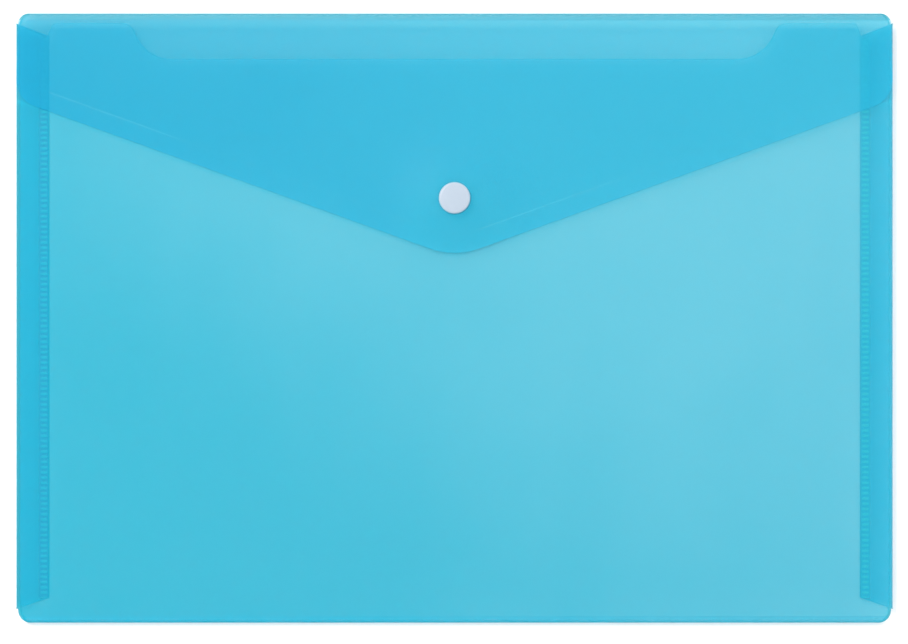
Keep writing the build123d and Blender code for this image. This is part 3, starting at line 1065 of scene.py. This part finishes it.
class WALLET_OT_press_stud(bpy.types.Operator):
    """Add the press stud's cap, socket, stud and stud cap"""

    bl_idname = "wallet.press_stud"
    bl_label = "Press Stud"

    def execute(self, context):
        snap = context.scene.wallet_snap
        finish = snap_finish("snap_plastic", snap)
        on_flap = FLAP_ROOT + SNAP_ALONG * FLAP_ALONG
        on_front = Vector((0, SNAP_Y, FRONT_UNDER))
        made = {
            "snap_cap": (self.cap(snap), False, on_flap, FLAP_NORMAL, "flap"),
            "snap_socket": (self.socket(snap), True, on_flap, FLAP_NORMAL, "flap"),
            "snap_stud": (self.stud(snap), True, on_front, (0, 0, 1), "pocket"),
            "snap_stud_cap": (self.stud_cap(snap), False, on_front, (0, 0, 1), "pocket"),
        }
        for node, (profile, hollow, origin, up, body) in made.items():
            mesh = turned_mesh(f"{node}_moulding", profile, hollow, origin, up)
            object_from(f"{node}_moulding", mesh, finish, node, body)
        return {"FINISHED"}

    def cap(self, snap):
        """Cap with a soft rim, on a post through the flap."""
        top = SHEET + snap.cap_height
        foot = -snap.socket_web
        rim = CAP_RADIUS - snap.cap_edge
        corners = [
            (0, foot),
            (snap.post_radius, foot),
            (snap.post_radius, SHEET),
            (CAP_RADIUS, SHEET),
            (CAP_RADIUS, top - 0.10 * MM),
            (0.5 * rim, top - 0.02 * MM),
            (0, top),
        ]
        return rounded(corners, [0.1 * MM, 0, 0.12 * MM, snap.cap_edge, 4 * MM])

    def socket(self, snap):
        """Ring that the stud's head snaps into."""
        foot = -snap.socket_height
        ring = 0.25 * MM
        corners = [
            (snap.bore_radius, -0.35 * snap.socket_web),
            (snap.bore_radius, 0),
            (SOCKET_RADIUS, 0),
            (SOCKET_RADIUS, foot),
            (0.82 * SOCKET_RADIUS, foot),
            (0.78 * SOCKET_RADIUS, foot + ring),
            (0.62 * SOCKET_RADIUS, foot + ring),
            (0.58 * SOCKET_RADIUS, foot),
            (snap.socket_bore, foot),
            (snap.socket_bore, -snap.socket_web),
            (snap.bore_radius, -snap.socket_web),
            (snap.bore_radius, -0.65 * snap.socket_web),
        ]
        small = 0.06 * MM
        radii = [small, 0.15 * MM, 0.4 * MM, small, small, small, small, 0.2 * MM, small, small]
        return rounded(corners, radii)

    def stud(self, snap):
        """Base and necked head that the socket closes on."""
        foot = SHEET
        base = foot + snap.stud_base
        top = foot + STUD_HIGH.z - STUD_LOW.z
        wide = STUD_HIGH.x
        neck = 0.9 * snap.boss_radius
        corners = [
            (snap.bore_radius, (foot + top) / 2 - 0.1 * MM),
            (snap.bore_radius, foot),
            (wide, foot),
            (wide, base),
            (neck, base),
            (neck, base + 0.35 * (top - base)),
            (snap.boss_radius, base + 0.65 * (top - base)),
            (snap.boss_radius, top),
            (snap.bore_radius, top),
            (snap.bore_radius, (foot + top) / 2 + 0.1 * MM),
        ]
        small = 0.08 * MM
        return rounded(corners, [small, small, 0.35 * MM, 0.15 * MM, 0.2 * MM, 0.2 * MM, 0.35 * MM, small])

    def stud_cap(self, snap):
        """Cap below the front panel, with the stud's post."""
        foot = STUD_CAP_LOW.z - FRONT_UNDER
        top = STUD_CAP_HIGH.z - FRONT_UNDER
        wide = STUD_CAP_HIGH.x
        corners = [
            (0, foot),
            (wide, foot),
            (wide, 0),
            (snap.post_radius, 0),
            (snap.post_radius, top),
            (0, top),
        ]
        return rounded(corners, [0.8 * MM, 0.12 * MM, 0, 0.15 * MM])


class WALLET_OT_stage(bpy.types.Operator):
    """Add the floor, the lights and the camera"""

    bl_idname = "wallet.stage"
    bl_label = "Stage"

    def lamp(self, name, power, size, place):
        """Large soft lamp that the camera doesn't see."""
        data = bpy.data.lights.new(name, "AREA")
        data.shape = "DISK"
        data.size = size
        data.energy = power
        made = bpy.data.objects.new(name, data)
        bpy.context.scene.collection.objects.link(made)
        made.location = place
        made.rotation_euler = (Vector() - Vector(place)).to_track_quat("-Z", "Y").to_euler()
        made.visible_camera = False
        return made

    def execute(self, context):
        stage = context.scene.wallet_stage
        floor = self.floor(stage)
        scene = context.scene
        world = bpy.data.worlds.new("studio")
        world.use_nodes = True
        world.node_tree.nodes["Background"].inputs["Color"].default_value = (1, 1, 1, 1)
        world.node_tree.nodes["Background"].inputs["Strength"].default_value = stage.daylight
        scene.world = world
        self.lamp("key_lamp", stage.key_power, *KEY_LAMP)
        overhead = self.lamp("floor_lamp", stage.floor_power, *FLOOR_LAMP)
        lit = bpy.data.collections.new("lit_by_floor_lamp")
        lit.objects.link(floor)
        overhead.light_linking.receiver_collection = lit
        self.lamp("fill_lamp", stage.fill_power, *FILL_LAMP)
        camera = bpy.data.cameras.new("overhead")
        camera.lens = stage.lens
        camera.sensor_width = 36
        made = bpy.data.objects.new("overhead", camera)
        scene.collection.objects.link(made)
        distance = stage.field * camera.lens / camera.sensor_width
        made.location = (stage.aim_x, stage.aim_y, FRONT_TOP + distance)
        camera.clip_end = 50
        scene.camera = made
        scene.view_settings.view_transform = "Standard"
        scene.cycles.transparent_max_bounces = 48
        return {"FINISHED"}

    def floor(self, stage):
        """Wide board just below the wallet."""
        reach = 6.0
        drop = -0.3 * MM
        thickness = 0.02
        stops = np.linspace(-reach, reach, 9)
        x, y = np.meshgrid(stops, stops)
        upper = np.dstack([x, y, np.full(x.shape, drop)])
        lower = upper - (0, 0, thickness)
        mesh = shell_mesh("floor", upper, lower, {})
        mesh.materials.append(floor_finish("floor_board", stage))
        made = bpy.data.objects.new("floor", mesh)
        bpy.context.scene.collection.objects.link(made)
        return made


class WALLET_PT_builder(bpy.types.Panel):
    """Lists the wallet's pieces"""

    bl_idname = "WALLET_PT_builder"
    bl_label = "Document Wallet"
    bl_space_type = "VIEW_3D"
    bl_region_type = "UI"
    bl_category = "Wallet"

    def draw(self, context):
        for name in SETTINGS:
            group = getattr(context.scene, name)
            box = self.layout.box()
            for field in group.bl_rna.properties:
                if field.identifier not in ("rna_type", "name"):
                    box.prop(group, field.identifier)
        for operator in OPERATORS:
            self.layout.operator(operator.bl_idname)


SETTINGS = {
    "wallet_sheet": WALLET_PG_sheet,
    "wallet_mouth": WALLET_PG_mouth,
    "wallet_flap": WALLET_PG_flap,
    "wallet_weld": WALLET_PG_weld,
    "wallet_snap": WALLET_PG_snap,
    "wallet_stage": WALLET_PG_stage,
}
OPERATORS = (
    WALLET_OT_back_panel,
    WALLET_OT_bottom_fold,
    WALLET_OT_front_panel,
    WALLET_OT_side_tabs,
    WALLET_OT_weld_seams,
    WALLET_OT_flap_panel,
    WALLET_OT_top_fold,
    WALLET_OT_press_stud,
    WALLET_OT_stage,
)


def register():
    for kind in (*SETTINGS.values(), *OPERATORS, WALLET_PT_builder):
        bpy.utils.register_class(kind)
    for name, kind in SETTINGS.items():
        setattr(bpy.types.Scene, name, bpy.props.PointerProperty(type=kind))


def unregister():
    for name in SETTINGS:
        delattr(bpy.types.Scene, name)
    for kind in reversed((*SETTINGS.values(), *OPERATORS, WALLET_PT_builder)):
        bpy.utils.unregister_class(kind)


def main():
    register()
    bpy.ops.wallet.back_panel()
    bpy.ops.wallet.bottom_fold()
    bpy.ops.wallet.front_panel()
    bpy.ops.wallet.side_tabs()
    bpy.ops.wallet.weld_seams()
    bpy.ops.wallet.flap_panel()
    bpy.ops.wallet.top_fold()
    bpy.ops.wallet.press_stud()
    bpy.ops.wallet.stage()


if __name__ == "__main__":
    main()
